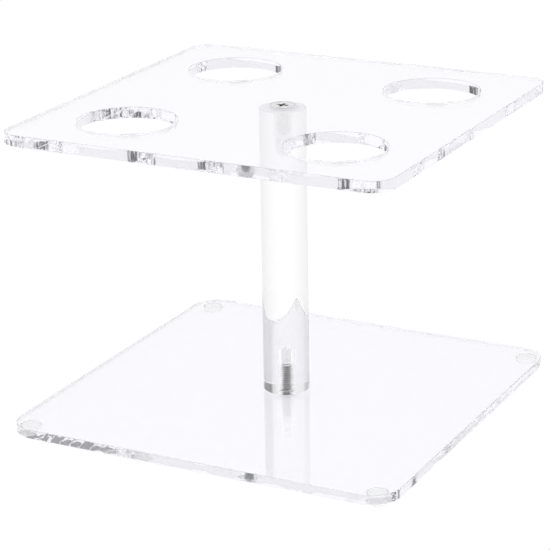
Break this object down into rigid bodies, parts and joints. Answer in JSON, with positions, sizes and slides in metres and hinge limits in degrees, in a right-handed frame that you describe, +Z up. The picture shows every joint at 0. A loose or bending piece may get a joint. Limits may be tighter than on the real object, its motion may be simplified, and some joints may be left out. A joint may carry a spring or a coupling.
{
  "type": "hair dryer holder",
  "caption": "Clear acrylic countertop stand: square base, solid round post, square top plate with round holes that hold hair tools.",
  "frame": {"origin": "on the standing surface, under the middle of the base", "axes": "+Z up along the post, +X to the right, -Y towards the person using it; the sides of both plates lie along X and Y"},
  "size_m": [0.22, 0.22, 0.1655],
  "materials": {
    "clear_acrylic": "polished",
    "screw_steel": "satin",
    "clear_silicone": "satin"
  },
  "bodies": {
    "root": {"base_plate": "clear_acrylic", "top_plate": "clear_acrylic", "post": "clear_acrylic", "top_screw": "screw_steel", "base_screw": "screw_steel", "foot_front_left": "clear_silicone", "foot_front_right": "clear_silicone", "foot_rear_left": "clear_silicone", "foot_rear_right": "clear_silicone"}
  },
  "joints": []
}
